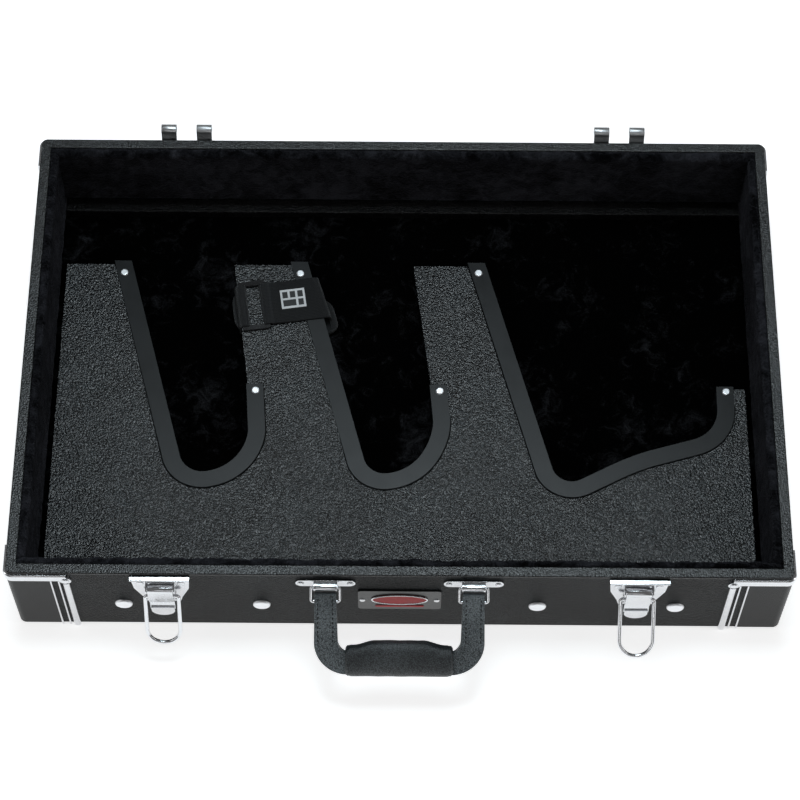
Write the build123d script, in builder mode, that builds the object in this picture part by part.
"""Lined half of a pedalboard case with a fold-up panel that stands three guitars.

The case half lies on its bottom face. X runs along its length, Y runs from the
handle side (front) to the lid hinge side (back), and Z is up. The origin is the
middle of the bottom face. All sizes are in millimetres.
"""

from build123d import *
from math import cos, radians, sin
import os

os.makedirs("parts", exist_ok=True)

# ---- Driving dimensions: case ----
LENGTH = 700.0  # outside, along X
DEPTH = 458.0  # outside, along Y
HEIGHT = 113.0  # bottom face to rim
WALL = 10.0  # covered plywood wall
BOTTOM = 6.0  # covered plywood bottom
CORNER_R = 6.0  # outer upright corners
RIM_R = 1.3  # both edges of the rim
BASE_R = 1.8  # outer bottom edge
LINING = 6.0  # plush on foam, walls
FLOOR_LINING = 4.0  # plush on foam, floor
LINING_LOW = 30.0  # hem of the wall linings
LINING_HIGH = 110.0  # top of the wall linings
FRONT = -DEPTH / 2  # outer face of the front wall
BACK = DEPTH / 2
SIDE = LENGTH / 2
INNER_X = SIDE - WALL
INNER_Y = BACK - WALL
FLOOR_TOP = BOTTOM + FLOOR_LINING

# ---- Driving dimensions: stand panel ----
PANEL_T = 9.0
PANEL_TOP = 22.0
PANEL_LOW = PANEL_TOP - PANEL_T
PANEL_HALF = 330.0  # half its length
FINGER_Y = 142.4  # tips of the fingers
LOBE_Y = 7.5  # end of the short right-hand side
HINGE_Y = -201.0  # axis of the panel's hinge
HINGE_Z = 24.5
KNUCKLE_R = 2.5
KNUCKLE_LEN = 40.0
HINGE_HALF = 320.0
STAND_PIN_R = 1.25
PIN_CLEAR = 0.05  # running clearance of every hinge pin, radial
LEAF_T = 1.2
TRIM_W = 16.4  # slot trim seen on the panel's face
TRIM_T = 1.2
TRIM_WEB = 1.3  # slot trim seen on the panel's edge
TRIM_END_Y = 9.8  # short end of each trim
TRIM_TOP_Y = 146.0  # long end of each trim
TRIM_RIVET_R = 4.0

# ---- Driving dimensions: latches ----
LATCH_X = 213.0
LEVER_PIN_OUT = 6.5  # lever axis, out from the front wall
LEVER_PIN_Z = 94.5
BAIL_PIN_OUT = 5.5
BAIL_PIN_Z = 77.0
BAIL_LEN = 56.0  # axis to the outside of the loop
BAIL_HALF = 15.0  # middle of the wire, each side
BAIL_ROUND = 14.9  # the loop ends in almost a half circle
WIRE_R = 1.8
LATCH_PIN_R = 1.5
BAIL_ANGLE_LEFT = 27.5  # how far each bail hangs out from straight down
BAIL_ANGLE_RIGHT = 47.0

# ---- Driving dimensions: handle ----
HANDLE_X = 66.0  # middle of each arm
HANDLE_OUT = 5.0  # handle axis, out from the front wall
HANDLE_Z = 98.0
HANDLE_LEN = 82.0  # axis to the outside of the grip
HANDLE_ANGLE = 50.0  # out from straight down
STRAP_T = 8.0
RING_WIRE_R = 1.5
RING_HALF = 12.5
RING_LEN = 13.0

# ---- Driving dimensions: lid hinge ----
REAR_HINGE_X = 209.5
KNUCKLE_GAP = 34.0  # between the two knuckles of a hinge
REAR_KNUCKLE_W = 14.5
REAR_AXIS_Y = BACK + 8.5
REAR_AXIS_Z = 118.0
REAR_CURL_R = 5.0
REAR_BORE_R = 3.2


def save(builder, name):
    """Label a finished sub-part and write its file."""
    builder.part.label = name
    export_step(builder.part, f"parts/{name}.step")


def front_plane(x, z, out=0.0):
    """A plane on the front wall: its x runs along +X, its y up, its z outwards."""
    return Plane(origin=(x, FRONT - out, z), x_dir=(1, 0, 0), z_dir=(0, -1, 0))


def domed_rivet(at, head_r, dome, shank_r, shank):
    """A domed head standing on the plane, with its shank behind it."""
    with BuildPart() as rivet:
        with BuildSketch(at):
            Circle(head_r)
        extrude(amount=dome)
        rim = [e for e in rivet.edges() if abs(at.to_local_coords(e.center()).Z - dome) < 0.01]
        fillet(rim, dome * 0.85)
        with BuildSketch(at):
            Circle(shank_r)
        extrude(amount=-shank)
    return rivet.part


# =====================================================================
# Case shell
# =====================================================================

with BuildPart() as case_frame:
    with BuildSketch():
        Rectangle(LENGTH, DEPTH)
        fillet(vertices(), CORNER_R)
    extrude(amount=HEIGHT)
    fillet(case_frame.faces().sort_by(Axis.Z)[0].edges(), BASE_R)
    with BuildSketch():
        Rectangle(2 * INNER_X, 2 * INNER_Y)
    extrude(amount=HEIGHT, mode=Mode.SUBTRACT)
    fillet(case_frame.faces().sort_by(Axis.Z)[-1].edges(), RIM_R)

WALLS = {
    "front_wall": ((0, FRONT + WALL / 2), (LENGTH, WALL)),
    "back_wall": ((0, BACK - WALL / 2), (LENGTH, WALL)),
    "left_wall": ((-SIDE + WALL / 2, 0), (WALL, 2 * INNER_Y)),
    "right_wall": ((SIDE - WALL / 2, 0), (WALL, 2 * INNER_Y)),
}
# Holes for the shanks that go through or into the walls are cut further down.
wall_parts = {}
for wall_name, (middle, plan) in WALLS.items():
    with BuildPart() as wall:
        add(case_frame.part)
        with BuildSketch():
            with Locations(middle):
                Rectangle(*plan)
        extrude(amount=HEIGHT, mode=Mode.INTERSECT)
    wall_parts[wall_name] = wall.part

with BuildPart() as case_bottom:
    with BuildSketch():
        Rectangle(2 * INNER_X, 2 * INNER_Y)
    extrude(amount=BOTTOM)
save(case_bottom, "case_bottom")

# =====================================================================
# Linings, ledge, batten and cleats
# =====================================================================

with BuildPart() as lining_floor:
    with BuildSketch(Plane.XY.offset(BOTTOM)):
        Rectangle(2 * INNER_X, 2 * INNER_Y)
    extrude(amount=FLOOR_LINING)
save(lining_floor, "lining_floor")

LINING_MID_Y = INNER_Y - LINING / 2
LINING_MID_X = INNER_X - LINING / 2
LININGS = {
    "lining_front": ((0, -LINING_MID_Y), (2 * INNER_X, LINING)),
    "lining_back": ((0, LINING_MID_Y), (2 * INNER_X, LINING)),
    "lining_left": ((-LINING_MID_X, 0), (LINING, 2 * (INNER_Y - LINING))),
    "lining_right": ((LINING_MID_X, 0), (LINING, 2 * (INNER_Y - LINING))),
}
for lining_name, (middle, plan) in LININGS.items():
    with BuildPart() as lining:
        with BuildSketch(Plane.XY.offset(LINING_LOW)):
            with Locations(middle):
                Rectangle(*plan)
        extrude(amount=LINING_HIGH - LINING_LOW)
    save(lining, lining_name)

LEDGE_W = 14.0
with BuildPart() as rear_ledge:
    with BuildSketch(Plane.XY.offset(FLOOR_TOP)):
        with Locations((0, INNER_Y - LEDGE_W / 2)):
            Rectangle(2 * INNER_X, LEDGE_W)
    extrude(amount=10.0)
    fillet(rear_ledge.edges().filter_by(Axis.X).group_by(Axis.Z)[-1].sort_by(Axis.Y)[0], 1.5)
save(rear_ledge, "rear_ledge")

BATTEN_W = 15.0
LEAF_SCREW_X = [-280 + 80 * i for i in range(8)]
LEAF_SCREW_R = 1.3
LEAF_SCREW_LEN = 6.0
FIXED_SCREW_Y = HINGE_Y - 7.5
MOVING_SCREW_Y = HINGE_Y + 7.5
with BuildPart() as hinge_batten:
    with BuildSketch(Plane.XY.offset(FLOOR_TOP)):
        with Locations((0, -INNER_Y + BATTEN_W / 2)):
            Rectangle(2 * INNER_X, BATTEN_W)
    extrude(amount=PANEL_TOP - FLOOR_TOP)
    with BuildSketch(Plane.XY.offset(PANEL_TOP)):
        with Locations([(x, FIXED_SCREW_Y) for x in LEAF_SCREW_X]):
            Circle(LEAF_SCREW_R)
    extrude(amount=-LEAF_SCREW_LEN, mode=Mode.SUBTRACT)
save(hinge_batten, "hinge_batten")

CLEAT_GAP = 0.3
with BuildPart() as rest_cleats:
    with BuildSketch(Plane.XY.offset(FLOOR_TOP)):
        with Locations((-PANEL_HALF + 5, -20)):
            Rectangle(10, 320)
        with Locations((PANEL_HALF - 4, -90)):
            Rectangle(8, 180)
    extrude(amount=PANEL_LOW - CLEAT_GAP - FLOOR_TOP)
save(rest_cleats, "rest_cleats")

# =====================================================================
# Stand panel, its slots and their trims
# =====================================================================

ABOVE = 160.0  # the slots are drawn open past the fingertips


def slot_1():
    """Inside of the first slot, seen from above: a leaning U."""
    side = Line((-270.2, ABOVE), (-209.1, -67.4))
    heel = TangentArc((-209.1, -67.4), (-184, -84), tangent=side % 1)
    sweep_up = TangentArc((-184, -84), (-157, -69.4), tangent=heel % 1)
    shoulder = TangentArc((-157, -69.4), (-145.3, -41), tangent=sweep_up % 1)
    Polyline(shoulder @ 1, (-148.9, TRIM_END_Y), (-168.7, ABOVE), side @ 0)


def slot_2():
    """Inside of the second slot, a little wider than the first."""
    side = Line((-96.7, ABOVE), (-34.6, -70.2))
    heel = TangentArc((-34.6, -70.2), (-13, -85), tangent=side % 1)
    sweep_up = TangentArc((-13, -85), (17.8, -67.2), tangent=heel % 1)
    shoulder = TangentArc((17.8, -67.2), (30.8, -30), tangent=sweep_up % 1)
    Polyline(shoulder @ 1, (27.3, TRIM_END_Y), (7.7, ABOVE), side @ 0)


def slot_3():
    """Inside of the wide slot, whose right side slopes like a bout."""
    side = Line((77.8, ABOVE), (143.2, -78.3))
    heel = TangentArc((143.2, -78.3), (170, -90), tangent=side % 1)
    slope = Line((170, -90), (200, -74.3))
    bend = TangentArc((200, -74.3), (235, -59.5), tangent=slope % 1)
    waist = Line((235, -59.5), (278, -47))
    hip = TangentArc((278, -47), (302.3, -14), tangent=waist % 1)
    Polyline(hip @ 1, (302.5, TRIM_END_Y), (302.5, ABOVE), side @ 0)


SLOTS = [slot_1, slot_2, slot_3]
# A point between the two sides of each slot, level with the trim's short end.
SLOT_MIDDLE = [-190.0, -13.0, 210.0]
TRIM_RIVETS = [
    [(-272.8, 132.1), (-139.8, 2.4)],
    [(-99.8, 132.2), (37.1, 2.8)],
    [(75.3, 134.0), (311.8, 4.0)],
]
TRIM_SHANK_R = 1.6


def slot_face(outline, grow):
    """The slot's region in plan, grown outwards."""
    with BuildSketch() as region:
        with BuildLine():
            outline()
        make_face()
        if grow:
            offset(amount=grow, kind=Kind.ARC)
    return region.sketch


with BuildPart() as stand_panel:
    with BuildSketch(Plane.XY.offset(PANEL_LOW)):
        with Locations((0, (FINGER_Y + HINGE_Y + KNUCKLE_R) / 2)):
            Rectangle(2 * PANEL_HALF, FINGER_Y - HINGE_Y - KNUCKLE_R)
        for outline in SLOTS:
            add(slot_face(outline, TRIM_WEB), mode=Mode.SUBTRACT)
        with Locations((PANEL_HALF, (LOBE_Y + ABOVE) / 2)):
            Rectangle(80, ABOVE - LOBE_Y, mode=Mode.SUBTRACT)
    extrude(amount=PANEL_T)
    with BuildSketch(Plane.XY.offset(PANEL_TOP)):
        with Locations([at for pair in TRIM_RIVETS for at in pair]):
            Circle(TRIM_SHANK_R)
    extrude(amount=-PANEL_T, mode=Mode.SUBTRACT)
    with BuildSketch(Plane.XY.offset(PANEL_TOP)):
        with Locations([(x, MOVING_SCREW_Y) for x in LEAF_SCREW_X]):
            Circle(LEAF_SCREW_R)
    extrude(amount=-LEAF_SCREW_LEN, mode=Mode.SUBTRACT)
save(stand_panel, "stand_panel")

REACH = 400.0
for number, (outline, middle_x, rivets) in enumerate(zip(SLOTS, SLOT_MIDDLE, TRIM_RIVETS), 1):
    with BuildPart() as slot_trim:
        with BuildSketch(Plane.XY.offset(PANEL_LOW - TRIM_T)):
            add(slot_face(outline, TRIM_W))
            add(slot_face(outline, 0), mode=Mode.SUBTRACT)
            with Locations((0, TRIM_TOP_Y + REACH / 2)):
                Rectangle(4 * REACH, REACH, mode=Mode.SUBTRACT)
            with Locations((middle_x + REACH / 2, TRIM_END_Y + REACH / 2)):
                Rectangle(REACH, REACH, mode=Mode.SUBTRACT)
        extrude(amount=PANEL_T + 2 * TRIM_T)
        with BuildSketch(Plane.XY.offset(PANEL_LOW)):
            add(slot_face(outline, TRIM_W + 1))
            add(slot_face(outline, TRIM_WEB), mode=Mode.SUBTRACT)
        extrude(amount=PANEL_T, mode=Mode.SUBTRACT)
        with BuildSketch(Plane.XY.offset(PANEL_TOP + TRIM_T)):
            with Locations(rivets):
                Circle(TRIM_SHANK_R)
        extrude(amount=-PANEL_T - 2 * TRIM_T, mode=Mode.SUBTRACT)
    save(slot_trim, f"slot_trim_{number}")

with BuildPart() as trim_rivets:
    for x, y in [at for pair in TRIM_RIVETS for at in pair]:
        head = Plane(origin=(x, y, PANEL_TOP + TRIM_T))
        add(domed_rivet(head, TRIM_RIVET_R, 1.6, TRIM_SHANK_R, PANEL_T + 2 * TRIM_T))
save(trim_rivets, "trim_rivets")

# =====================================================================
# Stand hinge: two leaves with alternating knuckles on one pin
# =====================================================================

LEAF_W = 12.0
KNUCKLE_SPACE = 0.4
PIN_PLANE = Plane(origin=(-HINGE_HALF, HINGE_Y, HINGE_Z), x_dir=(0, 1, 0), z_dir=(1, 0, 0))
KNUCKLES = round(2 * HINGE_HALF / KNUCKLE_LEN)


def hinge_leaf(side, first):
    """A leaf on the given side of the axis, with every second knuckle."""
    with BuildPart() as leaf:
        with BuildSketch(Plane.XY.offset(PANEL_TOP)):
            with Locations((0, HINGE_Y + side * (LEAF_W + 2.7) / 2)):
                Rectangle(2 * HINGE_HALF, LEAF_W - 2.7)
        extrude(amount=LEAF_T)
        for number in range(first, KNUCKLES, 2):
            start = number * KNUCKLE_LEN + KNUCKLE_SPACE / 2
            with BuildSketch(PIN_PLANE.offset(start)):
                Circle(KNUCKLE_R)
                with Locations((side * 1.6, -KNUCKLE_R + LEAF_T / 2)):
                    Rectangle(3.2, LEAF_T)
            extrude(amount=KNUCKLE_LEN - KNUCKLE_SPACE)
        with BuildSketch(PIN_PLANE):
            Circle(STAND_PIN_R + PIN_CLEAR)
        extrude(amount=2 * HINGE_HALF, mode=Mode.SUBTRACT)
        with BuildSketch(Plane.XY.offset(PANEL_TOP)):
            with Locations([(x, HINGE_Y + side * 7.5) for x in LEAF_SCREW_X]):
                Circle(LEAF_SCREW_R)
        extrude(amount=LEAF_T, mode=Mode.SUBTRACT)
    return leaf


save(hinge_leaf(-1, 0), "stand_hinge_fixed_leaf")
save(hinge_leaf(1, 1), "stand_hinge_moving_leaf")

with BuildPart() as stand_hinge_pin:
    with BuildSketch(PIN_PLANE):
        Circle(STAND_PIN_R)
    extrude(amount=2 * HINGE_HALF)
save(stand_hinge_pin, "stand_hinge_pin")

for screws_name, screw_y in (
    ("hinge_screws_fixed", FIXED_SCREW_Y),
    ("hinge_screws_moving", MOVING_SCREW_Y),
):
    with BuildPart() as leaf_screws:
        for x in LEAF_SCREW_X:
            head = Plane(origin=(x, screw_y, PANEL_TOP + LEAF_T))
            add(domed_rivet(head, 2.4, 0.9, LEAF_SCREW_R, LEAF_T + LEAF_SCREW_LEN - 0.5))
    save(leaf_screws, screws_name)

# =====================================================================
# Strap, ring and patch on the middle finger
# =====================================================================

STRAP_W = 46.0
STRAP_WEB = 1.5
STRAP_TURN = 8.5  # the strap lies slightly askew
STRAP_MID = (-118.5, 99.1)
STRAP_AXES = Plane(origin=(*STRAP_MID, 0)).rotated((0, 0, STRAP_TURN))
STRAP_SECTION = Plane(origin=STRAP_AXES.origin, x_dir=STRAP_AXES.x_dir, z_dir=-STRAP_AXES.y_dir)
STRAP_LEFT = -44.0
STRAP_RIGHT = 43.6
STRAP_UNDER = PANEL_LOW - TRIM_T - 0.2 - STRAP_WEB
STRAP_OVER = PANEL_TOP + TRIM_T + 0.3
RING_BAR = 5.0
RING_OUT = (27.0, 54.0)
RING_MID_X = -26.0  # of the ring, along the strap
RING_T = 3.0
with BuildPart() as finger_strap:
    with BuildSketch(STRAP_SECTION):
        with BuildLine():
            FilletPolyline(
                (RING_MID_X - RING_OUT[0] / 2 - 1, PANEL_TOP + 1.4),
                (STRAP_LEFT, PANEL_TOP + 1.4),
                (STRAP_LEFT, STRAP_UNDER + STRAP_WEB / 2),
                (STRAP_RIGHT, STRAP_UNDER + STRAP_WEB / 2),
                (STRAP_RIGHT, STRAP_OVER + STRAP_WEB / 2),
                (RING_MID_X + RING_OUT[0] / 2 + 1, STRAP_OVER + STRAP_WEB / 2),
                radius=2.0,
            )
            offset(amount=STRAP_WEB / 2, kind=Kind.ARC)
        make_face()
    extrude(amount=STRAP_W / 2, both=True)
save(finger_strap, "finger_strap")

with BuildPart() as strap_ring:
    with BuildSketch(STRAP_AXES.offset(PANEL_TOP + 0.4)):
        with Locations((RING_MID_X, 0)):
            RectangleRounded(*RING_OUT, 3.0)
            RectangleRounded(*[side - 2 * RING_BAR for side in RING_OUT], 1.5, mode=Mode.SUBTRACT)
    extrude(amount=RING_T)
save(strap_ring, "strap_ring")

with BuildPart() as strap_patch:
    with BuildSketch(STRAP_AXES.offset(STRAP_OVER + STRAP_WEB)):
        with Locations((12.7, 2.0)):
            Rectangle(24, 21)
    extrude(amount=0.6)
save(strap_patch, "strap_patch")

# =====================================================================
# Corner patches, rails, uprights, beads and rivets: all four corners
# =====================================================================

PATCH_T = 0.8
PATCH_LONG = 39.6  # corner to the patch's edge, on the front and back
PATCH_SHORT = 29.0
RAIL_T = 2.4
RAIL_LONG = 54.0
RAIL_Z = 104.6
RAIL_H = 10.6
PAD_Z = 101.5  # round end of each rail, with its rivet
RAIL_ROUND = 2.1  # leaves the rail nearly half-round
RIVET_IN = 53.0
UPRIGHT_IN = 53.0
BEAD_IN = (46.7, 39.6)
UPRIGHT_TOP = RAIL_Z - RAIL_H / 2 - 0.2
UPRIGHT_LOW = 0.2
CORNERS = [(sx, sy) for sx in (-1, 1) for sy in (-1, 1)]


def corner_wrap(thick, long_side, short_side, low, high):
    """A skin of the given thickness round each of the four corners."""
    with BuildPart() as wrap:
        for sx, sy in CORNERS:
            with BuildSketch(Plane.XY.offset(low)) as band:
                Rectangle(LENGTH + 2 * thick, DEPTH + 2 * thick)
                fillet(band.vertices(), CORNER_R + thick)
                Rectangle(2 * (SIDE - long_side), DEPTH + 4 * thick, mode=Mode.SUBTRACT)
                Rectangle(LENGTH + 4 * thick, 2 * (BACK - short_side), mode=Mode.SUBTRACT)
                with Locations((-sx * SIDE / 2, 0)):
                    Rectangle(SIDE + 8 * thick, 2 * DEPTH, mode=Mode.SUBTRACT)
                with Locations((0, -sy * BACK / 2)):
                    Rectangle(2 * LENGTH, BACK + 8 * thick, mode=Mode.SUBTRACT)
            extrude(amount=high - low)
        with BuildSketch(Plane.XY.offset(low - 1)) as case_plan:
            Rectangle(LENGTH, DEPTH)
            fillet(case_plan.vertices(), CORNER_R)
        extrude(amount=high - low + 2, mode=Mode.SUBTRACT)
    return wrap


save(corner_wrap(PATCH_T, PATCH_LONG - 1.2, PATCH_SHORT, BASE_R + 0.5, UPRIGHT_TOP), "corner_patches")

rails = corner_wrap(RAIL_T, RAIL_LONG, PATCH_SHORT, RAIL_Z - RAIL_H / 2, RAIL_Z + RAIL_H / 2)
with BuildPart() as corner_rails:
    add(rails.part)
    outer = [
        e
        for e in corner_rails.edges()
        if abs(abs(e.center().Z - RAIL_Z) - RAIL_H / 2) < 0.01
        and (
            abs(abs(e.center().X) - SIDE - RAIL_T) < 0.01
            or abs(abs(e.center().Y) - BACK - RAIL_T) < 0.01
            or (e.geom_type == GeomType.CIRCLE and e.radius > CORNER_R + 1)
        )
    ]
    fillet(outer, RAIL_ROUND)
    for sx, sy in CORNERS:
        pad = Plane(
            origin=(sx * (SIDE - RIVET_IN), sy * BACK, PAD_Z), x_dir=(1, 0, 0), z_dir=(0, sy, 0)
        )
        with BuildSketch(pad):
            Circle(5.4)
        extrude(amount=RAIL_T)
        with BuildSketch(pad):
            Circle(TRIM_SHANK_R)
        extrude(amount=RAIL_T, mode=Mode.SUBTRACT)
save(corner_rails, "corner_rails")


def upright_strips(insets, width, proud, low, high, round_r):
    """Upright strips on the front and back faces, at each corner."""
    with BuildPart() as strips:
        for sx, sy in CORNERS:
            for inset in insets:
                with BuildSketch(Plane.XY.offset(low)):
                    with Locations((sx * (SIDE - inset), sy * (BACK + proud / 2))):
                        Rectangle(width, proud)
                extrude(amount=high - low)
        outer = [
            e
            for e in strips.edges().filter_by(Axis.Z)
            if abs(abs(e.center().Y) - BACK - proud) < 0.01
        ]
        fillet(outer, round_r)
    return strips


UPRIGHT_GAP = 3.2  # the rail's round end hangs lower than the rail
save(
    upright_strips((UPRIGHT_IN,), 6.5, 3.2, UPRIGHT_LOW, UPRIGHT_TOP - UPRIGHT_GAP, 2.6),
    "corner_uprights",
)
save(upright_strips(BEAD_IN, 1.8, 2.0, UPRIGHT_LOW, UPRIGHT_TOP, 0.8), "corner_beads")

with BuildPart() as corner_rivets:
    for sx, sy in CORNERS:
        head = Plane(
            origin=(sx * (SIDE - RIVET_IN), sy * (BACK + RAIL_T), PAD_Z),
            x_dir=(1, 0, 0),
            z_dir=(0, sy, 0),
        )
        add(domed_rivet(head, 3.6, 1.3, TRIM_SHANK_R, RAIL_T))
save(corner_rivets, "corner_rivets")

# =====================================================================
# Latches: base, lever, pin and wire bail, left and right
# =====================================================================

EAR_IN = 11.9
EAR_T = 1.1
LEVER_HALF = 11.6
BASE_T = 1.2


def side_section(x):
    """A plane square to X: its x runs out from the front wall, its y up."""
    return Plane(origin=(x, FRONT, 0), x_dir=(0, -1, 0), z_dir=(-1, 0, 0))


LATCH_RIVETS = [(-18.3, 95.5), (18.3, 95.5), (-12.5, 61.0), (12.5, 61.0)]


def latch_base(x):
    """Stamped plate with a folded lip at the top and two ears for the lever."""
    with BuildPart() as base:
        with BuildSketch(front_plane(x, 0)):
            with BuildLine():
                Polyline(
                    (-26.5, 108), (-24.5, 84), (-17.6, 65), (-15.5, 56),
                    (15.5, 56), (17.6, 65), (24.5, 84), (26.5, 108), close=True,
                )
            make_face()
            with Locations([(rx, rz) for rx, rz in LATCH_RIVETS]):
                Circle(TRIM_SHANK_R, mode=Mode.SUBTRACT)
        extrude(amount=BASE_T)
        with BuildSketch(side_section(x)):
            with Locations((2.6, 108)):
                RectangleRounded(5.2, 1.8, 0.8)
        extrude(amount=26.5, both=True)
        for side in (-1, 1):
            start = EAR_IN if side > 0 else -EAR_IN
            with BuildSketch(side_section(x + start)):
                with BuildLine():
                    Polyline(
                        (BASE_T / 2, 88.5), (BASE_T / 2, 101.5), (LEVER_PIN_OUT, 99),
                        (10.2, 97), (10.2, 92), (LEVER_PIN_OUT, 90), close=True,
                    )
                make_face()
                with Locations((LEVER_PIN_OUT, LEVER_PIN_Z)):
                    Circle(LATCH_PIN_R, mode=Mode.SUBTRACT)
            extrude(amount=-side * EAR_T)
    return base


def latch_lever(x):
    """Tray lever: barrel round the pin, flat face, side cheeks and a tongue."""
    with BuildPart() as lever:
        with BuildSketch(side_section(x)):
            with Locations((LEVER_PIN_OUT, LEVER_PIN_Z)):
                Circle(4.4)
            with BuildLine():
                Polyline(
                    (LEVER_PIN_OUT + 1, 98.6), (10.9, LEVER_PIN_Z), (10.6, 74.5), (8.0, 72.5),
                    (9.9, 58), (8.5, 58), (6.6, 71.8), (9.2, 75.2), (9.4, LEVER_PIN_Z),
                    (LEVER_PIN_OUT + 1, 94), close=True,
                )
            make_face()
        extrude(amount=LEVER_HALF - 0.4, both=True)
        with BuildSketch(Plane(origin=(x, FRONT - 9.3, 62), x_dir=(1, 0, 0), z_dir=(0, -1, 0))):
            with BuildLine():
                top_left = (-10.5, 0)
                Line(top_left, (10.5, 0))
                Line((10.5, 0), (10.5, -6))
                ThreePointArc((10.5, -6), (0, -16.5), (-10.5, -6))
                Line((-10.5, -6), top_left)
            make_face()
        extrude(amount=1.5)
        for side in (-1, 1):
            with BuildSketch(side_section(x + side * (LEVER_HALF - 0.4))):
                with BuildLine():
                    Polyline((3.2, 73.5), (3.2, 81), (6, 84), (9.6, 90), (9.6, 73.5), close=True)
                make_face()
                with Locations((BAIL_PIN_OUT, BAIL_PIN_Z)):
                    Circle(WIRE_R + PIN_CLEAR, mode=Mode.SUBTRACT)
            extrude(amount=side * 1.4)
        with BuildSketch(side_section(x)):
            with Locations((LEVER_PIN_OUT, LEVER_PIN_Z)):
                Circle(LATCH_PIN_R + PIN_CLEAR)
        extrude(amount=LEVER_HALF + 1, both=True, mode=Mode.SUBTRACT)
    return lever


def latch_bail(x, angle):
    """U of round wire whose inturned ends pivot in the lever's cheeks."""
    down = Vector(0, -sin(radians(angle)), -cos(radians(angle)))
    loop = Plane(
        origin=(x, FRONT - BAIL_PIN_OUT, BAIL_PIN_Z),
        x_dir=(1, 0, 0),
        z_dir=Vector(1, 0, 0).cross(down),
    )
    bottom = BAIL_LEN - WIRE_R
    with BuildPart() as bail:
        with BuildLine(loop) as wire:
            FilletPolyline(
                (-LEVER_HALF + 1.2, 0), (-BAIL_HALF, 0), (-BAIL_HALF, bottom),
                (BAIL_HALF, bottom), (BAIL_HALF, 0), (LEVER_HALF - 1.2, 0),
                radius=[2.2, BAIL_ROUND, BAIL_ROUND, 2.2],
            )
        with BuildSketch(Plane(origin=wire.line @ 0, z_dir=wire.line % 0)):
            Circle(WIRE_R)
        sweep()
    return bail


for side_name, x, angle in (
    ("left", -LATCH_X, BAIL_ANGLE_LEFT),
    ("right", LATCH_X, BAIL_ANGLE_RIGHT),
):
    save(latch_base(x), f"latch_base_{side_name}")
    save(latch_lever(x), f"latch_lever_{side_name}")
    save(latch_bail(x, angle), f"latch_bail_{side_name}")
    with BuildPart() as latch_pin:
        with BuildSketch(side_section(x)):
            with Locations((LEVER_PIN_OUT, LEVER_PIN_Z)):
                Circle(LATCH_PIN_R)
        extrude(amount=EAR_IN + EAR_T, both=True)
    save(latch_pin, f"latch_pin_{side_name}")

WALL_SHANK = 6.0
with BuildPart() as latch_rivets:
    for x in (-LATCH_X, LATCH_X):
        for rx, rz in LATCH_RIVETS:
            head = front_plane(x + rx, rz, BASE_T)
            add(domed_rivet(head, 3.4 if rz > 80 else 2.2, 1.0, TRIM_SHANK_R, BASE_T + WALL_SHANK))
save(latch_rivets, "latch_rivets")

# =====================================================================
# Handle: brackets, rings, leather strap with a steel core, padded grip
# =====================================================================

OUTWARD = Vector(0, -sin(radians(HANDLE_ANGLE)), -cos(radians(HANDLE_ANGLE)))
HANDLE_PLANE = Plane(
    origin=(0, FRONT - HANDLE_OUT, HANDLE_Z), x_dir=(1, 0, 0), z_dir=Vector(1, 0, 0).cross(OUTWARD)
)
BRACKET_T = 1.5
BRIDGE_R = 3.4
BRIDGE_HALF = 10.6
BRACKET_RIVET_IN = 22.0

with BuildPart() as handle_brackets:
    for x in (-HANDLE_X, HANDLE_X):
        with BuildSketch(front_plane(x, HANDLE_Z)):
            SlotOverall(53.5, 12.0)
            with Locations((-BRACKET_RIVET_IN, 0), (BRACKET_RIVET_IN, 0)):
                Circle(TRIM_SHANK_R, mode=Mode.SUBTRACT)
        extrude(amount=BRACKET_T)
        with BuildSketch(side_section(x)):
            with Locations((HANDLE_OUT, HANDLE_Z)):
                Circle(BRIDGE_R)
            with Locations((HANDLE_OUT / 2, HANDLE_Z)):
                Rectangle(HANDLE_OUT, 2 * BRIDGE_R)
        extrude(amount=BRIDGE_HALF, both=True)
        with BuildSketch(side_section(x)):
            with Locations((HANDLE_OUT, HANDLE_Z)):
                Circle(RING_WIRE_R + PIN_CLEAR)
        extrude(amount=BRIDGE_HALF + 1, both=True, mode=Mode.SUBTRACT)
save(handle_brackets, "handle_brackets")

with BuildPart() as handle_rings:
    for x in (-HANDLE_X, HANDLE_X):
        with BuildLine(HANDLE_PLANE) as ring_path:
            FilletPolyline(
                (x + RING_HALF, 0), (x + RING_HALF, RING_LEN),
                (x - RING_HALF, RING_LEN), (x - RING_HALF, 0),
                radius=1.9,
                close=True,
            )
        with BuildSketch(Plane(origin=ring_path.line @ 0, z_dir=ring_path.line % 0)):
            Circle(RING_WIRE_R)
        sweep(path=ring_path.line)
save(handle_rings, "handle_rings")

ARM_TOP = 5.6
ARM_OUT_TOP = 75.6
ARM_OUT = 76.5
ARM_IN_TOP = 56.4
ARM_IN = 54.5
BAR_LOW = HANDLE_LEN - 2.0  # the grip stands round the bar on every side
BAR_TOP = BAR_LOW - 19.0


def handle_outline():
    """The strap in its own plane: two arms and the bar that joins them."""
    with BuildSketch() as outline:
        with BuildLine():
            Polyline(
                (-ARM_OUT_TOP, ARM_TOP), (-ARM_OUT, BAR_LOW), (ARM_OUT, BAR_LOW),
                (ARM_OUT_TOP, ARM_TOP), close=True,
            )
        make_face()
        fillet(outline.vertices().group_by(Axis.Y)[-1], 30.0)
        with BuildLine():
            Polyline(
                (-ARM_IN_TOP, ARM_TOP - 1), (-ARM_IN, BAR_TOP), (ARM_IN, BAR_TOP),
                (ARM_IN_TOP, ARM_TOP - 1), close=True,
            )
        make_face(mode=Mode.SUBTRACT)
        fillet([v for v in outline.vertices() if abs(v.Y - BAR_TOP) < 0.1], 12.0)
    return outline.sketch


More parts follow.
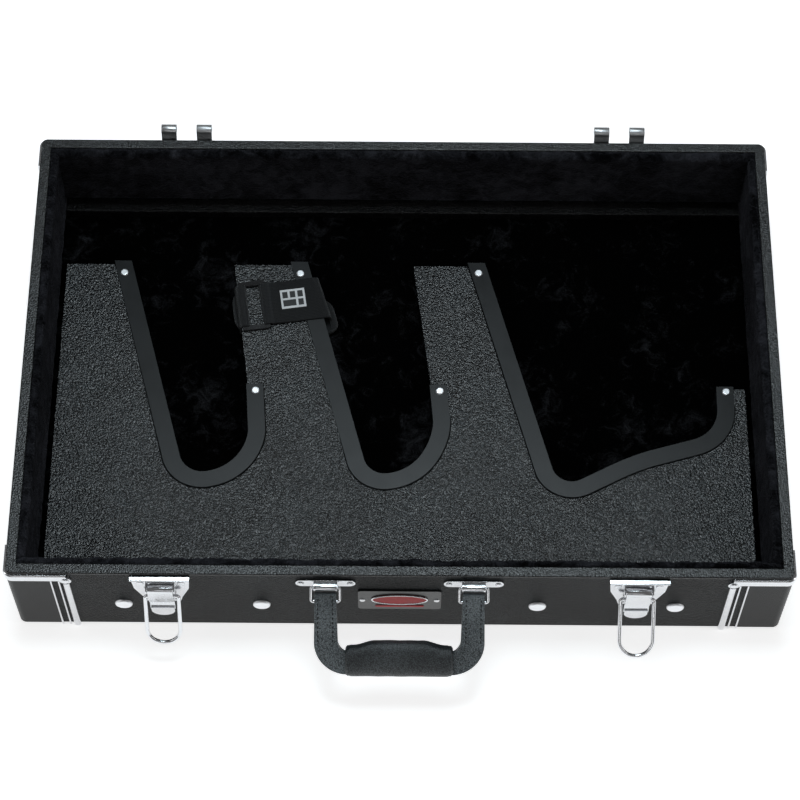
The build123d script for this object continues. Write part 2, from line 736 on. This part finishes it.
with BuildPart() as core_blank:
    with BuildSketch(HANDLE_PLANE):
        with BuildLine():
            FilletPolyline(
                (-66, 20), (-66, HANDLE_LEN - 10), (66, HANDLE_LEN - 10), (66, 20), radius=20
            )
            offset(amount=5.0, kind=Kind.ARC)
        make_face()
    extrude(amount=1.0, both=True)
save(core_blank, "handle_core")

with BuildPart() as handle_strap:
    with BuildSketch(HANDLE_PLANE):
        add(handle_outline())
    extrude(amount=STRAP_T / 2, both=True)
    ring_axis = Plane(origin=(-SIDE, FRONT - HANDLE_OUT, HANDLE_Z), x_dir=OUTWARD, z_dir=(1, 0, 0))
    with BuildSketch(ring_axis):
        with Locations((RING_LEN, 0)):
            Circle(RING_WIRE_R + PIN_CLEAR)
    extrude(amount=LENGTH, mode=Mode.SUBTRACT)
    add(core_blank.part, mode=Mode.SUBTRACT)
save(handle_strap, "handle_strap")

GRIP_HALF = 48.0
GRIP_T = 20.0
with BuildPart() as handle_grip:
    with BuildSketch(HANDLE_PLANE):
        with BuildLine():
            low_left = (-GRIP_HALF, 54)
            Spline(low_left, (-22, 53), (0, 49.5), (22, 53), (GRIP_HALF, 54))
            Polyline((GRIP_HALF, 54), (GRIP_HALF, HANDLE_LEN), (-GRIP_HALF, HANDLE_LEN), low_left)
        make_face()
    extrude(amount=GRIP_T / 2, both=True)
    lengthwise = [e for e in handle_grip.edges() if e.length > GRIP_HALF]
    fillet(lengthwise, 8.0)
    with BuildSketch(HANDLE_PLANE):
        add(handle_outline())
    extrude(amount=STRAP_T / 2, both=True, mode=Mode.SUBTRACT)
save(handle_grip, "handle_grip")

with BuildPart() as bracket_rivets:
    for x in (-HANDLE_X, HANDLE_X):
        for side in (-1, 1):
            head = front_plane(x + side * BRACKET_RIVET_IN, HANDLE_Z, BRACKET_T)
            add(domed_rivet(head, 3.0, 1.2, TRIM_SHANK_R, BRACKET_T + WALL_SHANK))
save(bracket_rivets, "bracket_rivets")

# =====================================================================
# Nameplate, cap rivets and lid hinges
# =====================================================================

PLATE_SIZE = (75.0, 40.0)
PLATE_Z = 61.0
PLATE_T = 1.4
PLATE_SCREW_X = 33.5
with BuildPart() as nameplate:
    with BuildSketch(front_plane(0, PLATE_Z)):
        RectangleRounded(*PLATE_SIZE, 3.0)
        with Locations((-PLATE_SCREW_X, 0), (PLATE_SCREW_X, 0)):
            Circle(TRIM_SHANK_R, mode=Mode.SUBTRACT)
    extrude(amount=PLATE_T)
save(nameplate, "nameplate")

with BuildPart() as nameplate_emblem:
    with BuildSketch(front_plane(0, PLATE_Z + 3, PLATE_T)):
        Ellipse(25.0, 9.5)
    extrude(amount=1.0)
    with BuildSketch(front_plane(0, PLATE_Z - 12.5, PLATE_T)):
        SlotOverall(44.0, 3.2)
    extrude(amount=0.6)
save(nameplate_emblem, "nameplate_emblem")

with BuildPart() as nameplate_screws:
    for x in (-PLATE_SCREW_X, PLATE_SCREW_X):
        add(domed_rivet(front_plane(x, PLATE_Z, PLATE_T), 2.6, 0.8, TRIM_SHANK_R, PLATE_T + WALL_SHANK))
save(nameplate_screws, "nameplate_screws")

CAP_X = (-250.0, -125.0, 125.0, 250.0)
CAP_Z = 47.5
with BuildPart() as front_cap_rivets:
    for x in CAP_X:
        add(domed_rivet(front_plane(x, CAP_Z), 8.0, 2.6, 2.5, WALL_SHANK))
save(front_cap_rivets, "front_cap_rivets")

REAR_PLATE = (56.0, 34.0)
REAR_PLATE_Z = 86.0
REAR_PLATE_T = 1.5
REAR_RIVETS = [(-20.0, 95.0), (20.0, 95.0), (0.0, 77.0)]


def back_plane(x, z, out=0.0):
    """A plane on the back wall: its y runs up and its z outwards."""
    return Plane(origin=(x, BACK + out, z), x_dir=(-1, 0, 0), z_dir=(0, 1, 0))


def rear_hinge(x):
    """Riveted leaf with two curled knuckles that the lid's pins slide into."""
    with BuildPart() as leaf:
        with BuildSketch(back_plane(x, REAR_PLATE_Z)):
            RectangleRounded(*REAR_PLATE, 4.0)
            with Locations([(rx, rz - REAR_PLATE_Z) for rx, rz in REAR_RIVETS]):
                Circle(TRIM_SHANK_R, mode=Mode.SUBTRACT)
        extrude(amount=REAR_PLATE_T)
        for side in (-1, 1):
            knuckle = Plane(
                origin=(x + side * KNUCKLE_GAP / 2 - REAR_KNUCKLE_W / 2, BACK, 0),
                x_dir=(0, 1, 0),
                z_dir=(1, 0, 0),
            )
            axis_out = REAR_AXIS_Y - BACK
            with BuildSketch(knuckle):
                with Locations((axis_out, REAR_AXIS_Z)):
                    Circle(REAR_CURL_R)
                with BuildLine():
                    Polyline(
                        (0, 100), (0, 108), (axis_out - REAR_CURL_R, REAR_AXIS_Z),
                        (axis_out - REAR_CURL_R + 1.8, REAR_AXIS_Z),
                        (axis_out - REAR_CURL_R + 1.8, 114), (1.5, 107), (1.5, 100), close=True,
                    )
                make_face()
                with Locations((axis_out, REAR_AXIS_Z)):
                    Circle(REAR_BORE_R, mode=Mode.SUBTRACT)
                with Locations((axis_out + 1.2, REAR_AXIS_Z - 4.2)):
                    Rectangle(0.9, 3.0, mode=Mode.SUBTRACT)
            extrude(amount=REAR_KNUCKLE_W)
    return leaf


save(rear_hinge(-REAR_HINGE_X), "rear_hinge_left")
save(rear_hinge(REAR_HINGE_X), "rear_hinge_right")

with BuildPart() as rear_hinge_rivets:
    for x in (-REAR_HINGE_X, REAR_HINGE_X):
        for rx, rz in REAR_RIVETS:
            head = back_plane(x - rx, rz, REAR_PLATE_T)
            add(domed_rivet(head, 3.6, 1.2, TRIM_SHANK_R, REAR_PLATE_T + WALL_SHANK))
save(rear_hinge_rivets, "rear_hinge_rivets")

# =====================================================================
# Walls, with a hole for each shank that goes into them
# =====================================================================

SHANKS = {
    "front_wall": [latch_rivets, bracket_rivets, nameplate_screws, front_cap_rivets],
    "back_wall": [rear_hinge_rivets],
}
for wall_name, wall_part in wall_parts.items():
    with BuildPart() as drilled_wall:
        add(wall_part)
        for fasteners in SHANKS.get(wall_name, []):
            add(fasteners.part, mode=Mode.SUBTRACT)
    save(drilled_wall, wall_name)
